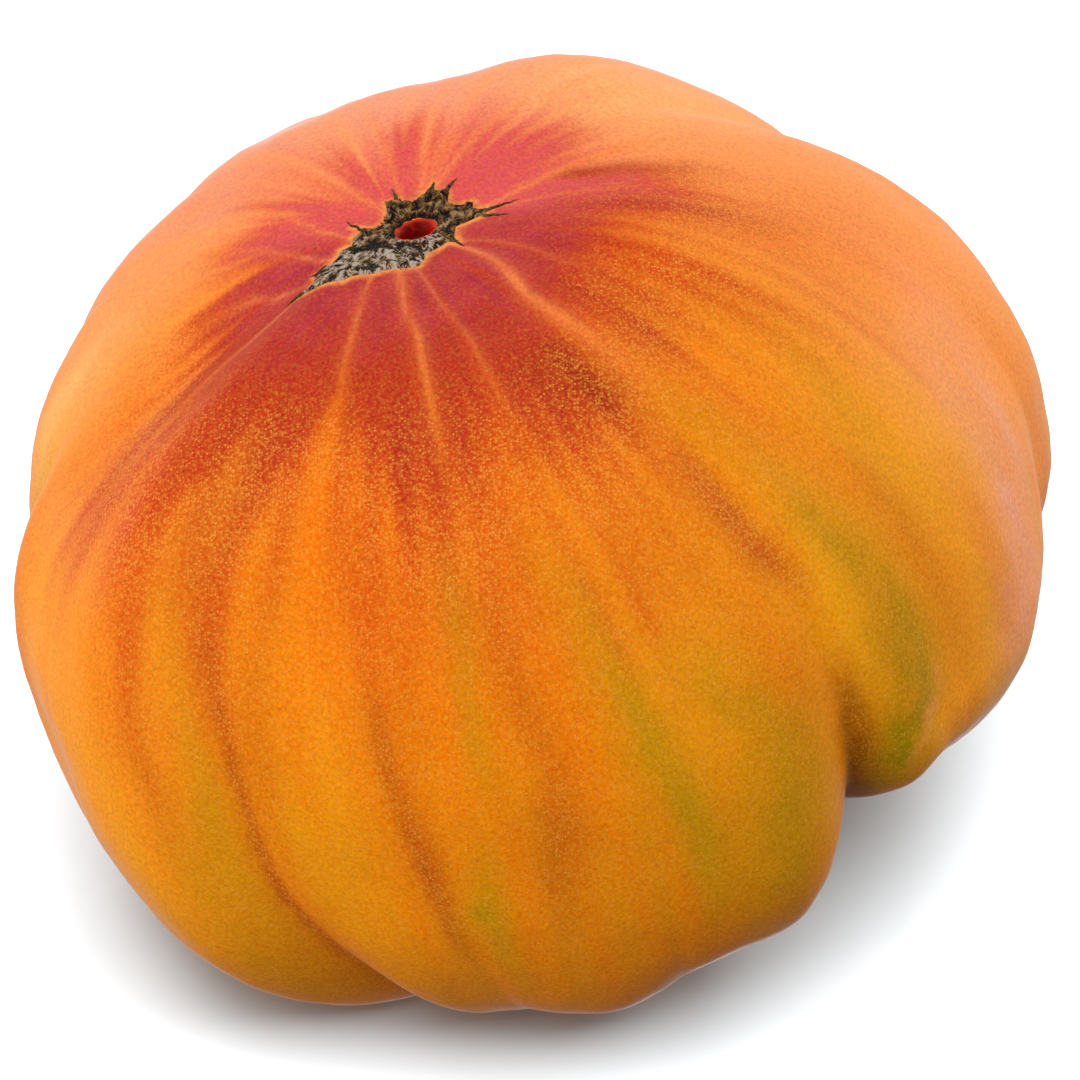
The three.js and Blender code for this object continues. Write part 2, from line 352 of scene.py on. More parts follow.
# Streaks along the meridians: colour, how much it freckles, and along its line the
# azimuth, fall, half-width in mm and strength
STREAKS = [
    # Partly the skin's own red streak, partly painted crease shade: a darker line down the
    # faint crease on the left
    (CRIMSON, .1, [
        (-59, .065, .5, 0), (-61.5, .087, .8, .8), (-64, .117, 1, .8), (-62.5, .158, 1.5, .8),
        (-60.5, .206, 2.2, .6), (-58.5, .26, 2.8, .4), (-57, .33, 3, 0)]),
    (RED_ORANGE, .8, [
        (-62, .14, 1.6, 0), (-60, .2, 3, .5), (-58, .26, 3.6, .5), (-57, .33, 4, .2),
        (-57, .4, 4, 0)]),
    (ORANGE, .5, [
        (-20, .12, 1, 0), (-20, .15, 1.6, .4), (-20, .18, 2.2, .3), (-20, .23, 2, 0)]),
    (CRIMSON, .3, [
        (-4.5, .1, 1.2, 0), (-4.5, .15, 1.6, .7), (-5, .19, 1.6, .6), (-6, .235, 1.4, 0)]),
    (RED_ORANGE, .5, [
        (-52, .1, 1.5, 0), (-52, .16, 3, .6), (-50, .22, 4, .7), (-46, .27, 3, .8),
        (-43, .33, 2.6, .6), (-41, .45, 2.4, .35), (-40, .55, 2, 0)]),
    (CRIMSON, 1, [
        (-35, .1, 2, 0), (-34, .15, 2.6, .6), (-34, .2, 3, .7), (-35, .25, 3, .6),
        (-35, .3, 2.5, .4), (-33, .36, 2, 0)]),
    (RED_ORANGE, 1, [
        (-36, .2, 4, 0), (-34, .28, 4.5, .45), (-31, .36, 4.5, .45), (-30, .44, 4, .35),
        (-30, .52, 3.5, .25), (-31, .62, 3, 0)]),
    # Partly the skin's own russet streak, partly painted crease shade: a thin dark line down
    # the deep crease at the front left
    (RUSSET, .9, [
        (-33, .3, 1.6, 0), (-31.5, .37, 1.1, .65), (-32, .44, .8, .8), (-32, .5, .75, .8),
        (-32, .58, .8, .8), (-32, .66, .9, .6), (-32, .75, .9, 0)]),
    (OLIVE, .4, [
        (-39, .27, 1.6, 0), (-37, .34, 1.8, .3), (-36, .42, 2, .3), (-37, .5, 2.6, .4),
        (-37, .57, 3.2, .4), (-38, .66, 3, .4), (-38, .75, 3, 0)]),
    (RED_ORANGE, 1, [
        (-9, .17, 3, 0), (-10, .24, 3.6, .4), (-11, .32, 3, .25), (-12, .4, 2.4, .3),
        (-11, .5, 2.4, .35), (-10, .58, 2, 0)]),
    (RUSSET, 1, [
        (-11, .34, 1.6, 0), (-12, .39, 1.3, .45), (-12, .43, 1.4, .55), (-11, .48, 1.6, .6),
        (-10, .54, 1.4, .55), (-9, .62, 1.2, 0)]),
    (RUSSET, .9, [
        (-1, .22, 3, 0), (2, .3, 3, .3), (5, .36, 3, .3), (7, .42, 2.4, .45), (6, .47, 3, .6),
        (5, .52, 3, .4), (4, .6, 3, 0)]),
    (OLIVE, .4, [
        (1, .24, 1.4, 0), (1, .3, 1.6, .3), (0, .36, 1.8, .4), (0, .43, 1.9, .5),
        (2, .48, 1.9, 0)]),
    (OLIVE, .1, [(-3, .48, 2, 0), (-5, .54, 3.4, .8), (-4, .6, 3, .5), (-4, .68, 3, 0)]),
    (OLIVE, .4, [
        (13, .22, 2, 0), (15, .28, 2.4, .35), (16, .34, 2.8, .45), (18, .41, 3.6, .6),
        (21, .48, 4, .65), (22, .56, 4.4, .5), (22, .65, 4, 0)]),
    (OLIVE, .1, [
        (28, .33, 3, 0), (30, .4, 4.4, .5), (33, .44, 5, .7), (31, .5, 5, .7),
        (29, .57, 5, .5), (28, .66, 4, 0)]),
    (RUSSET, 1, [
        (40, .2, 3, 0), (41, .26, 3, .6), (43, .32, 2.6, .8), (44.5, .355, 2, .7),
        (45, .4, 1.8, 0)]),
    (GOLD, .1, [
        (48, .33, 2, 0), (47, .37, 2.6, .9), (46.5, .41, 2.8, .9), (46, .45, 2.2, .7),
        (45.5, .5, 1.6, 0)]),
    (BROWN, .1, [
        (45, .4, 1.5, 0), (44, .44, 2, .4), (44, .5, 2.4, .7), (43, .56, 3, .7),
        (43, .65, 4, .7), (43, .75, 4, 0)]),
    (GREEN, .4, [
        (44, .17, 2.2, 0), (47, .22, 2.6, .25), (50, .28, 2.8, .2), (52, .33, 3, .45),
        (53, .38, 3.4, .6), (53.5, .42, 3.8, .75), (53, .46, 4, .85), (51, .49, 4, .9),
        (48.5, .52, 3.8, .85), (47, .58, 3.6, .6), (46, .68, 3, 0)]),
    (OLIVE, .6, [
        (66, .16, 3, 0), (67, .22, 3.6, .12), (65, .29, 4.2, .3), (62, .35, 4, .35),
        (61, .41, 3.6, .2), (61, .5, 3, 0)]),
    (RED_ORANGE, 1, [
        (60, .27, 2.5, 0), (60, .32, 3, .3), (61, .37, 3, .3), (62, .43, 3, .2),
        (62, .5, 3, 0)]),
    (RED_ORANGE, .9, [
        (90, .06, 4, 0), (92, .12, 5, .35), (95, .2, 6, .35), (98, .28, 6, .12),
        (99, .4, 5, 0)]),
    (RED_ORANGE, 1, [(64, .09, 3, 0), (65, .13, 5, .4), (67, .18, 5, .2), (68, .25, 5, 0)]),
    # Painted highlight: a pale line along the lower edge of the right lobe, where it turns
    # under
    (HALO_AND_EDGE_HIGHLIGHT, .5, [
        (57, .46, .8, 0), (56, .48, .9, .4), (52, .51, 1, .4), (49.5, .54, 1, .2),
        (48, .58, .9, 0)]),
    (CRIMSON, .2, [
        (111, .05, .5, 0), (111, .073, .9, .8), (109, .095, 1.2, .8), (107, .129, 1.6, .5),
        (107, .154, 2, .3), (106, .2, 2, 0)]),
    (RED_ORANGE, .7, [
        (72, .36, 2.6, 0), (73, .42, 3, .3), (73, .5, 3.4, .3), (72, .58, 3, 0)]),
    (RED_ORANGE, .6, [
        (80, .1, 3, 0), (79, .15, 3.4, .4), (78, .2, 3.2, .25), (77, .3, 3, 0)]),
    (CRIMSON, .3, [
        (89, .06, 1, 0), (90, .1, 1.4, .7), (92, .143, 1.6, .7), (93, .174, 1.8, .6),
        (95, .24, 2, 0)]),
    (PLUM, .9, [
        (34, .11, 1.6, 0), (36, .14, 3, .6), (37.5, .175, 3, .7), (38, .195, 2.4, .4),
        (38.5, .225, 2.2, 0)]),
    (CRIMSON, .8, [
        (57, .08, 1.4, 0), (58, .12, 2.4, .6), (56, .16, 3, .7), (55, .2, 2.6, 0)]),
    (RUSSET, .7, [(36, .27, 3, 0), (37, .33, 4, .25), (37, .4, 4, .25), (36, .48, 3, 0)]),
    (GOLD, .4, [(-24, .42, 3, 0), (-24, .48, 4, .5), (-25, .55, 4, .5), (-26, .65, 4, 0)]),
    (ROSE, .1, [(230, .07, 4, 0), (231, .13, 6, .3), (233, .19, 6, .2), (234, .27, 6, 0)]),
    # Painted reflections: pale streaks on the upper right and on the left, where the skin
    # turns away
    (PALE_RIM_REFLECTION, .2, [(140, .08, 7, 0), (138, .16, 9, .5), (134, .24, 9, .4), (132, .36, 8, 0)]),
    (PALE_RIM_REFLECTION, .2, [(-88, .14, 4, 0), (-90, .25, 6, .4), (-86, .33, 6, .5), (-80, .42, 6, 0)]),
    # Painted reflection: a lilac streak down the right side, where the skin turns away
    (LILAC_RIM_REFLECTION, .3, [
        (92, .28, 5, 0), (88, .36, 6, .3), (84, .44, 7, .55), (78, .52, 7, .55),
        (76, .62, 6, 0)]),
]

# Streaks on the sides that the front doesn't show, about five to a lobe: the azimuths
# that they lie between, their number, and the kinds with how often each comes
HIDDEN_SPAN = (105.0, 292.0)
HIDDEN_STREAKS = 34
HIDDEN_KINDS = [(RUSSET, .9), (OLIVE, .4), (RED_ORANGE, .9), (GOLD, .4), (GREEN, .3)]
HIDDEN_CHANCES = [.15, .27, .33, .15, .1]
# Share of the way down such a streak, width and strength there
HIDDEN_SHAPE = [(0, .7, 0), (.35, 1, .8), (.65, 1.2, 1), (1, 1, 0)]


def hidden_streaks():
    """Streaks of the same kinds at even azimuths round the hidden side, each with a
    little random turn, length, width and strength."""
    rng = np.random.default_rng(7)
    streaks = []
    for azimuth in np.linspace(*HIDDEN_SPAN, HIDDEN_STREAKS):
        shade, freckle = HIDDEN_KINDS[rng.choice(len(HIDDEN_KINDS), p=HIDDEN_CHANCES)]
        top, length = rng.uniform(.14, .4), rng.uniform(.25, .5)
        azimuth, drift = azimuth + rng.uniform(-4, 4), rng.uniform(-5, 5)
        width, strength = rng.uniform(1.2, 3.6), rng.uniform(.25, .55)
        streaks.append((shade, freckle, [
            (azimuth + drift * s, top + length * s, width * w, strength * a)
            for s, w, a in HIDDEN_SHAPE]))
    return streaks


def turn_from(line, azimuth):
    """Degrees from a line to each azimuth, the short way round."""
    return np.mod(azimuth - line + FULL_TURN / 2, FULL_TURN) - FULL_TURN / 2


def streak_share(azimuth, fall, across_mm, knots):
    """Share of a streak at each skin point: a bell curve across its line, times the
    strength that its knots give along it."""
    knots = np.array(knots, float)
    line, width, strength = (np.interp(fall, knots[:, 1], knots[:, i]) for i in (0, 2, 3))
    strength = np.where((fall < knots[0, 1]) | (fall > knots[-1, 1]), 0, strength)
    return strength * np.exp(-((turn_from(line, azimuth) * across_mm / width) ** 2))


BAND_RADIUS = 50.0
BAND_LENGTH = 150.0


def bands(azimuth, fall, width, stretch, seed):
    """Random streaks of spread 1 that run down the meridians: a smooth cloud on a
    cylinder of about the fruit's size, stretched lengthwise."""
    turn = np.radians(azimuth)
    round_core = np.stack([BAND_RADIUS * np.sin(turn), BAND_RADIUS * np.cos(turn),
                           BAND_LENGTH / stretch * fall], -1)
    return cloud(round_core, width, seed)


VEIN_CORE = 0.62
VEIN_GLOW = 0.28
VEIN_SPREAD = 2.5


def vein_share(azimuth, fall, across_mm, thin, wide, knots):
    """Share of a vein at each skin point, and how far along it that is: a fine bell curve
    across its line with a faint wider one, widening along it and dying out at its end."""
    turns, falls = np.array(knots).T
    along = np.clip((fall - falls[0]) / (falls[-1] - falls[0]), 0, 1)
    gap = turn_from(np.interp(fall, falls, turns), azimuth)
    gap = gap * across_mm / mix(thin, wide, along)
    bell = VEIN_CORE * np.exp(-gap ** 2) + VEIN_GLOW * np.exp(-((gap / VEIN_SPREAD) ** 2))
    return bell * (.85 - .3 * along) * (1 - ease((along - .6) / .4)), along


# Degrees from the back where the colours of the front begin, and how many more till they
# are full; how far from the core line the scar is painted, and its halo's width, in mm
FRONT_FROM = 65.0
FRONT_SPAN = 45.0
NEAR_SCAR = 20.0
HALO_WIDTH = 0.4


def skin_colours(azimuth, fall, points):
    """Colour and freckling of the skin: an orange ground tinted by azimuth, its peach and
    pink partly painted reflection, the red cap with its veins, the streaks, some of them
    painted highlights, painted reflections and painted crease shade, and the greener stem
    end, laid over each other in that order, then painted shade that browns the lower half
    towards the bottom."""
    radius = core_radius(azimuth, fall)
    across_mm = np.radians(1) * radius
    wander = cloud(points, 26, 1)
    fine = cloud(points, 5, 2)
    patch = cloud(points, 34, 3)
    broad_bands = bands(azimuth, fall, 14, 5, 4)
    thin_bands = bands(azimuth, fall, 4.5, 8, 5)
    turn = azimuth + .35 * wander + .15 * fine
    drop = fall + .004 * wander + .002 * fine

    def lay(base, shade, share):
        return mix(base, shade, np.clip(share, 0, 1)[..., None])

    gold, peach, pink = (around(azimuth, TINTS[:, 0], TINTS[:, i]) for i in (1, 2, 3))
    upper = 1 - .5 * ease((fall - .3) / .35)
    ground = np.broadcast_to(ORANGE, points.shape)
    ground = lay(ground, GOLD, gold + .1 * patch + .09 * broad_bands + .07 * thin_bands)
    # Peach, stronger towards the top, and pink near the top: partly the skin's own tint,
    # partly painted reflection of a pale haze
    ground = lay(ground, PEACH, peach * upper * (1 + .1 * broad_bands))
    pink = pink * (1 - ease((fall - .12) / .5))
    ground = lay(ground, PINK, pink * (1 + .15 * thin_bands))
    ground = lay(ground, GOLD, .25 * ease((fall - .35) / .2) * (1 + .5 * thin_bands))
    ground = lay(ground, RUSSET, .06 * ease((fall - .35) / .3) * (1 + thin_bands))
    freckles = .6 - .15 * ease((fall - .35) / .3)

    reach = around(turn, CAP[:, 0], CAP[:, 1]) + .008 * broad_bands + .01 * thin_bands
    outer = 1 - ease((drop - reach + .05) / .11)
    inner = 1 - ease((drop - reach * .65) / (reach * .5))
    from_back = np.abs(np.mod(azimuth, FULL_TURN) - FULL_TURN / 2)
    facing = ease((from_back - FRONT_FROM) / FRONT_SPAN)
    red = mix(ROSE, MAGENTA, (facing * (.9 + .1 * fine))[..., None])
    haze = (.1 + .5 * facing) * (1 - ease((drop - reach) / .24))
    ground = lay(ground, RED_ORANGE, haze * (1 + .25 * thin_bands))
    ground = lay(ground, RED_ORANGE, outer)
    cap = mix(ROSE, CRIMSON, facing[..., None])
    ground = lay(ground, cap, inner * (.9 + .1 * thin_bands))
    middle = .75 * (1 - ease((drop - .045) / .09))
    ground = lay(ground, red, middle * (.8 + .2 * thin_bands))
    freckles = np.maximum(freckles, np.exp(-(((drop - reach - .02) / .07) ** 2)))
    freckles = freckles * ease((fall - .09) / .08)

    for strength, thin, wide, knots in VEINS:
        share, along = vein_share(azimuth, fall, across_mm, thin, wide, knots)
        shade = mix(VEIN, ORANGE, ease(along)[..., None])
        ground = lay(ground, shade, strength * share * (1 + .25 * thin_bands))

    for shade, freckle, knots in STREAKS + hidden_streaks():
        share = streak_share(turn, drop, across_mm, knots)
        ground = lay(ground, shade, share * (1 + .08 * fine + .15 * thin_bands))
        freckles = np.maximum(freckles, freckle * np.minimum(share * 1.6, 1))

    right, back = flat_map(azimuth, radius)
    near = radius < NEAR_SCAR
    gap = np.where(near, edge_distance(right, back, SCAR_OUTLINE), NEAR_SCAR)
    outside = radius > scar_reach(azimuth)
    halo = np.where(outside, np.exp(-((gap / HALO_WIDTH) ** 2)), 1)
    ground = lay(ground, HALO_AND_EDGE_HIGHLIGHT, .9 * halo)
    in_hole = 1 - ease((hole_share(right, back) - .8) / .25)
    ground = lay(ground, HOLE_RED, np.where(near, in_hole, 0))

    stem = ease((fall - .78) / .14)
    ground = lay(ground, SHOULDER_GREEN, .75 * stem * (.8 + .25 * patch))
    ground = lay(ground, CORK_STAIN, .6 * ease((fall - .955) / .03))
    # Painted shade: the lower half turns brown towards the bottom
    ground = lay(ground, BROWN, .4 * ease((fall - .5) / .2))
    return ground, np.clip(freckles, 0, 1)


# Materials. Waves or cells of each pattern to the metre, then depths of bumps in metres

SKIN_GRAIN = 2400.0
SKIN_TINGE = 2700.0
SKIN_FLECKS = 3300.0
SKIN_CLUMPS = 2900.0
SKIN_WAX = 90.0
SKIN_PEEL = 900.0
SCAR_FIBRE = 3600.0
STEM_FIBRE = 2600.0
FLESH_MOTTLE = 1500.0
PEEL_DEPTH = 0.00006
FIBRE_DEPTH = 0.00015
FLESH_DEPTH = 0.0001
# How far a fleck hides the skin's own colour
FLECK_STRENGTH = 0.68


def new_finish(name, **values):
    """A material whose shader has the given values on its own sockets."""
    material = bpy.data.materials.new(name)
    material.use_nodes = True
    shader = material.node_tree.nodes["Principled BSDF"]
    for socket, value in values.items():
        shader.inputs[socket.replace("_", " ")].default_value = value
    return material, shader


def add(beside, kind, **values):
    """A node of that kind, beside a node or socket; values name its sockets, or its own
    settings."""
    made = beside.id_data.nodes.new("ShaderNode" + kind)
    for key, value in values.items():
        if hasattr(made, key):
            setattr(made, key, value)
        else:
            made.inputs[key.replace("_", " ")].default_value = value
    return made


def join(source, target):
    source.id_data.links.new(source, target)


def ramp(source, low, high, to_low=0.0, to_high=1.0):
    """Source, from low..high, as a number from to_low to to_high, clamped."""
    made = add(source, "MapRange", From_Min=low, From_Max=high, To_Min=to_low, To_Max=to_high)
    join(source, made.inputs["Value"])
    return made.outputs["Result"]


def work_out(operation, a, b):
    """Socket a and b, a socket or a number, put through one Math operation."""
    made = add(a, "Math", operation=operation)
    join(a, made.inputs[0])
    if isinstance(b, float):
        made.inputs[1].default_value = b
    else:
        join(b, made.inputs[1])
    return made.outputs[0]


def blend_colour(share, under, over):
    """A fixed colour over laid on the colour of socket under, by socket share."""
    made = add(share, "Mix", data_type="RGBA")
    factor, first, second = (made.inputs[i] for i in (0, 6, 7))
    join(share, factor)
    join(under, first)
    second.default_value = (*over, 1)
    return made.outputs[2]


def noise(place, scale, detail, roughness):
    made = add(place, "TexNoise", Scale=scale, Detail=detail, Roughness=roughness)
    join(place, made.inputs["Vector"])
    return made.outputs["Fac"]


def place_and_paint(shader):
    """Sockets with the place on the piece and with its painted colour."""
    return (add(shader, "TexCoord").outputs["Object"],
            add(shader, "Attribute", attribute_name="ripeness").outputs["Color"])


def dress(shader, tone, gloss, height, strength, depth):
    """Gives the shader its colour, its roughness and a bump of that depth."""
    join(tone, shader.inputs["Base Color"])
    join(gloss, shader.inputs["Roughness"])
    bump = add(shader, "Bump", Strength=strength, Distance=depth)
    join(height, bump.inputs["Height"])
    join(bump.outputs["Normal"], shader.inputs["Normal"])


def make_skin_finish():
    """Satin tomato skin: its painted colours, a fine grain of light and tinge, golden
    flecks and clumps where it is freckled, and a faint orange-peel bump."""
    material, shader = new_finish(
        "tomato_skin", Specular_IOR_Level=0.05, Sheen_Weight=0.65,
        Sheen_Roughness=0.13, Sheen_Tint=(0.95, 0.88, 0.95, 1.0))
    place, paint = place_and_paint(shader)
    freckled = add(shader, "Attribute", attribute_name="freckles").outputs["Fac"]

    mottled = add(shader, "HueSaturation")
    join(paint, mottled.inputs["Color"])
    grain, tinge = noise(place, SKIN_GRAIN, 3.0, 0.6), noise(place, SKIN_TINGE, 2.0, 0.6)
    join(ramp(grain, 0.3, 0.7, 0.84, 1.16), mottled.inputs["Value"])
    join(ramp(tinge, 0.3, 0.7, 0.491, 0.509), mottled.inputs["Hue"])

    cells = add(shader, "TexVoronoi", Scale=SKIN_FLECKS, Randomness=1.0)
    join(place, cells.inputs["Vector"])
    drawn = add(shader, "SeparateColor")
    join(cells.outputs["Color"], drawn.inputs["Color"])
    chosen = ramp(work_out("SUBTRACT", freckled, drawn.outputs["Red"]), 0.0, 0.5)
    flecks = work_out("MULTIPLY", ramp(cells.outputs["Distance"], 0.55, 0.2), chosen)
    flecks = work_out("MULTIPLY", flecks, FLECK_STRENGTH)
    clumps = ramp(noise(place, SKIN_CLUMPS, 2.0, 0.6), 0.5, 0.66)
    clumps = work_out("MULTIPLY", clumps, ramp(freckled, 0.0, 1.0, 0.1, 0.42))
    golden = work_out("MAXIMUM", flecks, clumps)
    speckled = blend_colour(golden, mottled.outputs["Color"], FLECK_GOLD)

    wax = noise(place, SKIN_WAX, 3.0, 0.6)
    peel = noise(place, SKIN_PEEL, 3.0, 0.5)
    dress(shader, speckled, ramp(wax, 0.3, 0.7, 0.3, 0.44), peel, 0.25, PEEL_DEPTH)
    return material


def make_cork_finish(name, light, dark, scale):
    """Dry cork: its painted tone broken up by fine fibres and pits."""
    material, shader = new_finish(name, Specular_IOR_Level=0.2)
    place, paint = place_and_paint(shader)
    fibre = noise(place, scale, 4.0, 0.7)
    tone = blend_colour(ramp(fibre, 0.55, 0.75, 0.0, 0.25), paint, light)
    tone = blend_colour(ramp(fibre, 0.45, 0.28, 0.0, 0.5), tone, dark)
    dress(shader, tone, ramp(fibre, 0.3, 0.7, 0.65, 0.95), fibre, 0.7, FIBRE_DEPTH)
    return material


def make_flesh_finish(light):
    """Wet dark-red flesh with a slight lighter mottle."""
    material, shader = new_finish("wet_flesh", Specular_IOR_Level=0.15)
    place, paint = place_and_paint(shader)
    mottle = noise(place, FLESH_MOTTLE, 3.0, 0.6)
    tone = blend_colour(ramp(mottle, 0.5, 0.7, 0.0, 0.35), paint, light)
    dress(shader, tone, ramp(mottle, 0.3, 0.7, 0.25, 0.4), mottle, 0.4, FLESH_DEPTH)
    return material


# Meshes

def capped_faces(rows, columns, first=0):
    """Faces of a closed shell of rows between two poles: a fan at each, quads between.
    First is the number of its first vertex."""
    column = np.arange(columns)
    after = (column + 1) % columns
    row = 1 + np.arange(rows - 1)[:, None] * columns
    quads = np.stack([row + column, row + columns + column,
                      row + columns + after, row + after], -1).reshape(-1, 4)
    base = 1 + (rows - 1) * columns
    top = np.stack([np.zeros_like(column), 1 + column, 1 + after], -1)
    end = np.stack([np.full_like(column, base + columns), base + after, base + column], -1)
    return (top + first).tolist() + (quads + first).tolist() + (end + first).tolist()


def ring_faces(rows, columns):
    """Faces of a closed ring, joined in both directions."""
    row, column = np.arange(rows)[:, None], np.arange(columns)[None, :]
    below, after = (row + 1) % rows, (column + 1) % columns
    corners = [row * columns + column, below * columns + column,
               below * columns + after, row * columns + after]
    return np.stack(corners, -1).reshape(-1, 4).tolist()


def make_piece(name, points, faces, material, colours, freckles=None):
    """A smooth mesh of points in mm, with its paint and freckling, on the one body."""
    mesh = bpy.data.meshes.new(name)
    mesh.from_pydata((points * METRES).tolist(), [], faces)
    mesh.polygons.foreach_set("use_smooth", np.ones(len(mesh.polygons), bool))
    layer = mesh.attributes.new("ripeness", "FLOAT_COLOR", "POINT")
    rgba = np.concatenate([colours, np.ones((len(colours), 1))], 1)
    layer.data.foreach_set("color", rgba.astype(np.float32).ravel())
    if freckles is not None:
        layer = mesh.attributes.new("freckles", "FLOAT", "POINT")
        layer.data.foreach_set("value", freckles.astype(np.float32))
    mesh.materials.append(material)
    mesh.update()
    piece = bpy.data.objects.new(name, mesh)
    bpy.context.scene.collection.objects.link(piece)
    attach(piece, "root")
    return piece


def with_poles(first, grid, last):
    return np.concatenate([first[None], grid.reshape(-1, grid.shape[-1]), last[None]])


def closed(grid):
    """The grid with the mean of its first row and of its last as poles."""
    return with_poles(grid[0].mean(0), grid, grid[-1].mean(0))


# The skin

def skin_rows():
    """Falls of the rows: close together over the red cap and at the stem."""
    return np.concatenate([np.linspace(.006, .2, 58, endpoint=False),
                           np.linspace(.2, .88, 76, endpoint=False),
                           np.linspace(.88, .994, 16)])


def skin_columns():
    """Azimuths of the columns: close together on the side with the fine streaks."""
    return np.concatenate([np.linspace(-75, 115, 422, endpoint=False),
                           np.linspace(115, 285, 218, endpoint=False)])


PLEAT_HEIGHT = 0.12
PLEAT_SOFT = 0.4
FAINT_CREASE = [(-55, .05, .8, 0), (-62, .1, 1, .03), (-64, .14, 1.2, .04),
                (-61, .2, 1.8, .03), (-57, .3, 2.4, 0)]


def skin_relief(azimuth, fall, points):
    """Low relief that the lobes leave out: soft pleats that run out from the scar along
    its veins, a faint crease on the left, and slight unevenness all over."""
    across_mm = np.radians(1) * core_radius(azimuth, fall)
    relief = .12 * cloud(points, 16, 11) * ease(fall / .1) + .03 * cloud(points, 5, 12)
    for strength, thin, wide, knots in VEINS:
        thin, wide = thin + PLEAT_SOFT, wide + PLEAT_SOFT
        share = vein_share(azimuth, fall, across_mm, thin, wide, knots)[0]
        relief = relief + PLEAT_HEIGHT * strength * share * ease(fall / .06)
    relief = relief - streak_share(azimuth, fall, across_mm, FAINT_CREASE)
    edge = ease((.9 - fall) / .1) * ease((points[..., 2] - .3) / 2)
    return relief * edge


def make_skin(material):
    azimuth, fall = np.meshgrid(skin_columns(), skin_rows())
    plain = skin(azimuth, fall)
    grid = skin(azimuth, fall, relief=skin_relief(azimuth, fall, plain))
    colours, freckles = skin_colours(azimuth, fall, plain)
    poles = [skin(np.zeros(1), np.full(1, end))[0] for end in (0.0, 1.0)]
    points = with_poles(poles[0], grid, poles[1])
    spots = with_poles(np.zeros(1), freckles[..., None], np.zeros(1))[:, 0]
    faces = capped_faces(*fall.shape)
    piece = make_piece("tomato_skin", points, faces, material, closed(colours), spots)
    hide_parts("tomato")


# The blossom scar

CORK_COLUMNS = 1000
CORK_ROWS = 88
CORK_THICKNESS = 0.55
CORK_ROOT = 0.45
HOLE_SEARCH = 8.0
BARK = colour("120b06")
WOOD = colour("64401f")
TAN = colour("967648")
ASH = colour("b0a498")
BLEACHED = colour("d8cdbc")
PIT = colour("140c06")
STAR_MIDDLE = (-3.6, -1.3)


def fibres(right, back, angle, width, length, seed):
    """Ridges of random fibres that lie at one angle: plane waves that are short across
    it and long along it, folded so that their crests are sharp. 0 to 1."""
    rng = np.random.default_rng(seed)
    turn = np.radians(angle)
    along = right * math.cos(turn) + back * math.sin(turn)
    across = back * math.cos(turn) - right * math.sin(turn)
    total = np.zeros(right.shape)
    for _ in range(14):
        waves = rng.uniform(.6, 1.5) / width, rng.normal() / length
        wave = across * waves[0] + along * waves[1]
        total += np.sin(2 * np.pi * wave + rng.uniform(0, 7))
    return np.clip(1 - np.abs(total / math.sqrt(7)) * .9, 0, 1)


def star(right, back, middle, width, seed):
    """Ridges that run out from a middle: a smooth cloud on a cone round it, narrow across
    and long outwards, folded so that its crests are sharp. 0 to 1."""
    x, y = right - middle[0], back - middle[1]
    radius = np.maximum(np.hypot(x, y), 1e-6)
    cone = np.stack([2.4 * x / radius, 2.4 * y / radius, radius / 4], -1)
    return np.clip(1 - 1.3 * np.abs(cloud(cone, width, seed)), 0, 1)


def cork_surface(right, back):
    """Height, from 0 to 1, and colour of the scar's cork: overlapping patches of fibres,
    some at one angle and some spread from two middles, each patch where its own cloud is
    high, with dark cracks left between; bark-brown at the back and ashy at the front, with
    painted shadow darkening it at the back near the rim of the hole."""
    flat = np.stack([right, back], -1)
    height = np.zeros(right.shape)
    for seed, angle in enumerate((35, 75, 130)):
        patch = ease(.3 + .6 * cloud(flat, 1.8, 100 + seed))
        height = np.maximum(height, patch * fibres(right, back, angle, .7, 3.5, seed))
    for seed, middle in enumerate((STAR_MIDDLE, HOLE_MIDDLE, STAR_MIDDLE, HOLE_MIDDLE)):
        patch = ease(.5 + .6 * cloud(flat, 2.2, 110 + seed))
        height = np.maximum(height, patch * star(right, back, middle, .75, 120 + seed))
    from_star = np.hypot(right - STAR_MIDDLE[0], back - STAR_MIDDLE[1])
    height = height * (1 - .8 * np.exp(-((from_star / .8) ** 2)))
    height = np.clip(height + .06 * cloud(flat, .4, 24), 0, 1)

    front = ease((.6 - back + .3 * right * (right > 0)) / 2.2)
    front = front * (1 - .8 * ease((right - 2.8) / 1.4))
    crack = np.exp(-((back + 1.5 + .1 * (right + 6) + .2 * cloud(flat, 2.2, 25)) / .3) ** 2)
    crack = crack * ease((right + 7) / 2) * ease((2.6 - right) / 1.5)
    tone = ease((height - .25) / .75) * (.6 + .35 * front) + .12 * cloud(flat, 1.0, 26)
    # Painted shadow: the cork darker at the back near the rim of the hole, under its own
    # overhang
    tone = tone * (1 - .8 * ease((1.35 - hole_share(right, back)) / .3) * (1 - front))
    tone = np.clip(tone - .8 * crack, 0, 1)[..., None]
    shade = mix(BARK, WOOD, ease(tone / .3))
    shade = mix(shade, TAN, ease((tone - .35) / .3))
    shade = mix(shade, ASH, ease((tone - .5) / .4) * front[..., None])
    return height * (1 - .7 * crack), shade


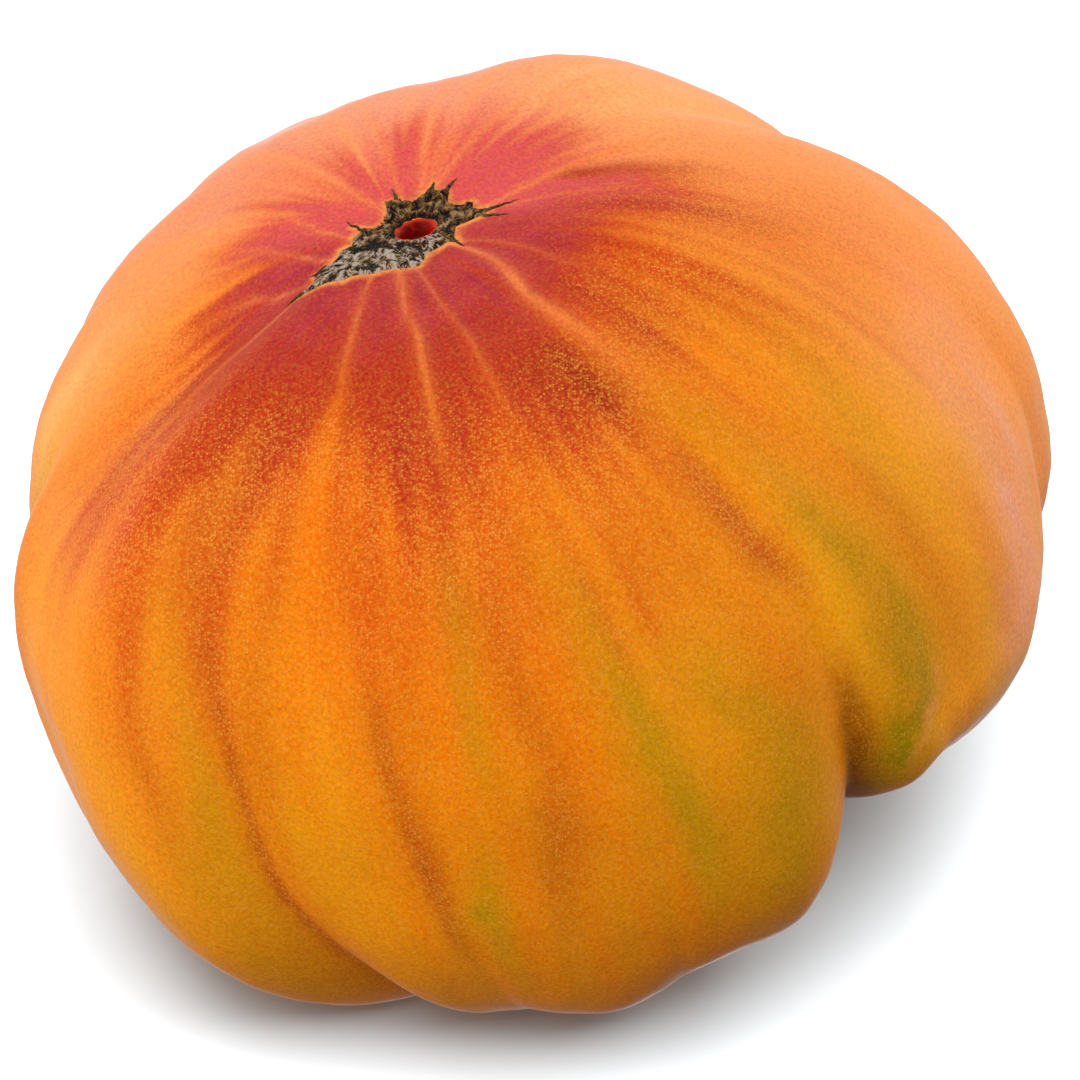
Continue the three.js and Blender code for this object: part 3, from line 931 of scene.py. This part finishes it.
def make_cork(material):
    """The ragged crust: along each azimuth from the lip of the hole to the edge, raised
    by its fibres, thin at both ends and closed underneath, below the skin."""
    azimuth = np.arange(CORK_COLUMNS) * (FULL_TURN / CORK_COLUMNS)
    wobble = cloud(np.stack(flat_map(azimuth, np.full(azimuth.shape, 6.0)), -1), .5, 31)
    outer = scar_reach(azimuth) + .1 * wobble
    radii = np.linspace(0, HOLE_SEARCH, 400)[:, None]
    inside = hole_share(*flat_map(azimuth[None], radii)) < 1
    inner = (inside * radii).max(0)
    share = np.linspace(0, 1, CORK_ROWS)[:, None]
    radius = mix(inner[None], outer[None], share)
    turn = np.broadcast_to(azimuth, radius.shape)
    right, back = flat_map(turn, radius)
    height, shade = cork_surface(right, back)
    edge = edge_distance(right, back, SCAR_OUTLINE)
    edge = np.minimum(edge, (radius - inner) * 1.2)
    thick = .55 + .45 * ease((back - .5) / 2.5)
    top = ease(edge / .45) * (.12 + CORK_THICKNESS * thick * (.35 + .65 * height)) - .04
    under = np.full((3, CORK_COLUMNS), -CORK_ROOT)
    under_radius = mix(outer[None], inner[None], np.array([.02, .5, .98])[:, None])
    lift = np.concatenate([top, under])
    radius = np.concatenate([radius, under_radius])
    turn = np.broadcast_to(azimuth, radius.shape)
    points = skin(turn, fall_at(turn, radius), lift=lift)
    paint = np.concatenate([shade, np.broadcast_to(BARK, (3, CORK_COLUMNS, 3))])
    faces = ring_faces(len(radius), CORK_COLUMNS)
    make_piece("blossom_scar", points.reshape(-1, 3), faces, material, paint.reshape(-1, 3))


def make_strands(material):
    """Strands of cork: each a tapering tube along an eased line, sunk by half into the
    skin, pointed at its far end."""
    all_points, all_faces, all_paint, count = [], [], [], 0
    sides, steps = 10, 26
    for number, (line, width) in enumerate(SCAR_STRANDS):
        line = np.array(line)
        share = np.linspace(0, 1, steps)
        knots = np.linspace(0, 1, len(line))
        path = np.stack([np.interp(share, knots, line[:, i]) for i in (0, 1)], -1)
        drift = [cloud(path, .9, seed + number) for seed in (40, 60)]
        path += .05 * np.stack(drift, -1)
        ahead = np.gradient(path, axis=0)
        ahead /= np.linalg.norm(ahead, axis=1)[:, None]
        side = np.stack([-ahead[:, 1], ahead[:, 0]], -1)
        taper = width * (1 - share ** 1.6) + .015
        turn = np.linspace(0, 2 * np.pi, sides, endpoint=False)
        flat = path[:, None] + side[:, None] * (np.cos(turn) * taper[:, None])[..., None]
        lift = np.sin(turn) * taper[:, None] * .9 + .03
        azimuth = np.degrees(np.arctan2(flat[..., 0], -flat[..., 1]))
        radius = np.hypot(flat[..., 0], flat[..., 1])
        points = skin(azimuth, fall_at(azimuth, radius), lift=lift)
        tone = ease(.5 + .4 * cloud(flat, .6, 80 + number))[..., None]
        paint = mix(BARK, WOOD, tone)
        all_points.append(closed(points))
        all_paint.append(with_poles(paint[0, 0], paint, paint[-1, 0]))
        all_faces += capped_faces(steps, sides, count)
        count += len(all_points[-1])
    make_piece("scar_strands", np.concatenate(all_points), all_faces, material,
               np.concatenate(all_paint))


FLESH_SHADE = colour("700200")
FLESH_LIGHT = colour("b40e06")
FLESH_MOTTLED = colour("c83018")
LIP_RED = colour("c4300f")
LIP_ORANGE = colour("d2683a")


def make_flesh(material):
    """Flesh that shows in the hole: a smooth bowl from a pale lip down to a dark red
    floor, its depth eased from the rim to the middle, closed below."""
    sides, rings = 128, 30
    turn = np.linspace(0, 2 * np.pi, sides, endpoint=False)
    share = np.concatenate([np.linspace(.03, 1.1, rings), [1.1, .6]])[:, None]
    x, y = share * HOLE_HALF_LENGTH * np.cos(turn), share * HOLE_HALF_WIDTH * np.sin(turn)
    right = HOLE_MIDDLE[0] + x * math.cos(HOLE_TILT) - y * math.sin(HOLE_TILT)
    back = HOLE_MIDDLE[1] + x * math.sin(HOLE_TILT) + y * math.cos(HOLE_TILT)
    azimuth = np.degrees(np.arctan2(right, -back))
    radius = np.hypot(right, back)
    uneven = cloud(np.stack([right, back], -1), 1.6, 90)
    level = .06 - 1.5 * (1 - ease((share - .3) / .68)) + .06 * uneven
    lift = level + hole_bed(share)
    lift[-2:] = -.6 - .2 * share[-2:]
    points = skin(azimuth, fall_at(azimuth, radius), lift=lift)
    edge = share + .04 * uneven
    # Painted shade: the flesh darker towards the back left of the hole, lighter towards the
    # front right
    lit = ease((right - HOLE_MIDDLE[0] - (back - HOLE_MIDDLE[1]) + 1) / 3.5)
    paint = mix(FLESH_SHADE, FLESH_LIGHT, lit[..., None])
    paint = mix(paint, LIP_RED, ease((edge - .8) / .16)[..., None])
    paint = mix(paint, LIP_ORANGE, ease((edge - .96) / .1)[..., None])
    make_piece("hole_flesh", closed(points), capped_faces(len(share), sides), material,
               closed(paint))


# The stem end

STEM_SCAR_RADIUS = 6.6
STEM_RING_RADIUS = 4.6
STEM_BARK = colour("4a3620")
STEM_TAN = colour("b79a6c")
STEM_STRAW = colour("cbb083")
STEM_PIT = colour("3a2814")


def make_stem_scar(material):
    """Round corky scar where the stem came off, up in the hollow: a raised ring round a
    sunken, cracked middle, closed on the side that is in the fruit."""
    sides, rings = 240, 40
    azimuth = np.linspace(0, FULL_TURN, sides, endpoint=False)
    share = np.concatenate([[.98, 1.0], np.linspace(.99, .02, rings)])[:, None]
    radius = share * STEM_SCAR_RADIUS * (1 + .03 * np.sin(np.radians(azimuth) * 5 + 1))
    turn = np.broadcast_to(azimuth, radius.shape)
    flat = np.stack(flat_map(turn, radius), -1)
    ring = np.exp(-((radius - STEM_RING_RADIUS) / .8) ** 2)
    rays = .5 + .5 * np.cos(np.radians(turn) * 22 + 2.2 * cloud(flat, 2.5, 95))
    rough = cloud(flat, .7, 96)
    drop = ring + .5 * ease(1 - radius / 2) + .16 * rays * ease(radius / 3) + .08 * rough
    drop = (drop + .35) * ease((1 - share) / .1)
    drop[:2] = [[-1.0], [-.5]]
    spread = radius / around(turn, MIDDLES, REACHES)
    fullness = around(turn, MIDDLES, FULLNESSES)
    fall = 1 - np.arcsin(np.clip(spread, 0, 1) ** (fullness / 2)) / np.pi
    points = skin(turn, fall, lift=-drop)
    tone = np.clip(.35 + .3 * rays + .2 * rough + .3 * ring, 0, 1)[..., None]
    paint = mix(STEM_BARK, STEM_TAN, tone)
    top, end = (skin(np.zeros(1), np.ones(1), lift=lift)[0] for lift in (2.0, -.8))
    make_piece("stem_scar", with_poles(top, points, end), capped_faces(len(share), sides),
               material, with_poles(paint[0, 0], paint, paint[-1, 0]))


scar_cork = make_cork_finish("scar_cork", BLEACHED, PIT, SCAR_FIBRE)
make_skin(make_skin_finish())
make_cork(scar_cork)
make_strands(scar_cork)
make_flesh(make_flesh_finish(FLESH_MOTTLED))
make_stem_scar(make_cork_finish("stem_cork", STEM_STRAW, STEM_PIT, STEM_FIBRE))


# The stage: a plain white floor, soft lights and the camera

WHITE = (1, 1, 1, 1)
FLOOR_HALF = 12.0
FLOOR_GREY = (.44, .466, .48, 1)
FLOOR_GLOW = 0.04
FLOOR_DROP = 0.0001
BRIGHT_SIDE = (0.0, 0.7, 0.71)
DIM_UP_TO = -0.95
BRIGHT_FROM = 0.7
DIM_WORLD = 0.1
BRIGHT_WORLD = 0.88
LAMPS_AIM = (0, 0, .04)

# Soft lights: name, place, size, power in watts, whether reflections show it, and whether
# it lights the fruit, the floor or both
LAMPS = [
    ("overhead", (.1, .3, 1.0), (1.1, .9), 1.2, True, "both"),
    ("front_left", (-.8, -1.05, .22), (.8, .8), 13.8, False, "fruit"),
    ("right", (1.0, 0, .95), (.8, .8), 4.4, False, "fruit"),
    ("right_rim", (1.1, .7, .35), (.6, .6), 2.4, True, "fruit"),
    ("left_rim", (-1.1, .5, .2), (.6, .6), 3.6, True, "fruit"),
    ("floor_light", (.06, -.22, 1.1), (1.3, 1.3), 68.0, True, "floor"),
]


def make_floor():
    """A square far wider than the view, just under the fruit."""
    mesh = bpy.data.meshes.new("floor")
    corners = [(-1, -1, 0), (1, -1, 0), (1, 1, 0), (-1, 1, 0)]
    mesh.from_pydata((FLOOR_HALF * np.array(corners)).tolist(), [], [(0, 1, 2, 3)])
    material, _ = new_finish("white_floor", Base_Color=FLOOR_GREY, Roughness=.9,
                             Specular_IOR_Level=0.0, Emission_Strength=FLOOR_GLOW,
                             Emission_Color=WHITE)
    mesh.materials.append(material)
    floor = bpy.data.objects.new("floor", mesh)
    floor.location.z = -FLOOR_DROP
    floor.visible_diffuse = False
    floor.visible_glossy = False
    bpy.context.scene.collection.objects.link(floor)
    return floor


def add_softbox(floor, name, place, size, power, glossy, lights):
    """A rectangular soft light aimed at the fruit, which still shades the floor from one
    that lights the floor alone."""
    light = bpy.data.lights.new(name, "AREA")
    light.shape = "RECTANGLE"
    light.size, light.size_y = size
    light.energy = power
    lamp = bpy.data.objects.new(name, light)
    lamp.location = place
    ahead = Vector(LAMPS_AIM) - Vector(place)
    lamp.rotation_euler = ahead.to_track_quat("-Z", "Y").to_euler()
    lamp.visible_glossy = glossy
    if lights != "both":
        lit = bpy.data.collections.new(name)
        lit.objects.link(floor)
        if lights == "fruit":
            lit.collection_objects[0].light_linking.link_state = "EXCLUDE"
        lamp.light_linking.receiver_collection = lit
    bpy.context.scene.collection.objects.link(lamp)


def make_world():
    """Even white surroundings, brighter above and behind than below and in front."""
    world = bpy.data.worlds.new("studio")
    world.use_nodes = True
    background = world.node_tree.nodes["Background"]
    background.inputs["Color"].default_value = WHITE
    towards = add(background, "VectorMath", operation="DOT_PRODUCT")
    join(add(background, "TexCoord").outputs["Generated"], towards.inputs[0])
    towards.inputs[1].default_value = BRIGHT_SIDE
    level = ramp(towards.outputs["Value"], DIM_UP_TO, BRIGHT_FROM, DIM_WORLD, BRIGHT_WORLD)
    level.node.interpolation_type = "SMOOTHSTEP"
    join(level, background.inputs["Strength"])
    bpy.context.scene.world = world


def make_studio(floor):
    make_world()
    for lamp in LAMPS:
        add_softbox(floor, *lamp)
    bpy.context.scene.view_settings.view_transform = "Standard"


CAMERA_AIM = (0.0002, -0.002, 0.038)
CAMERA_DISTANCE = 0.8
CAMERA_ELEVATION = math.radians(40)
SENSOR_MM = 36.0
LENS_MM = 253.9


def make_camera():
    lens = bpy.data.cameras.new("camera")
    lens.sensor_width = SENSOR_MM
    lens.lens = LENS_MM
    lens.clip_start, lens.clip_end = 0.01, 20
    camera = bpy.data.objects.new("camera", lens)
    away = Vector((0, -math.cos(CAMERA_ELEVATION), math.sin(CAMERA_ELEVATION)))
    camera.location = Vector(CAMERA_AIM) + away * CAMERA_DISTANCE
    camera.rotation_euler = (math.pi / 2 - CAMERA_ELEVATION, 0, 0)
    bpy.context.scene.collection.objects.link(camera)
    bpy.context.scene.camera = camera


make_studio(make_floor())
make_camera()
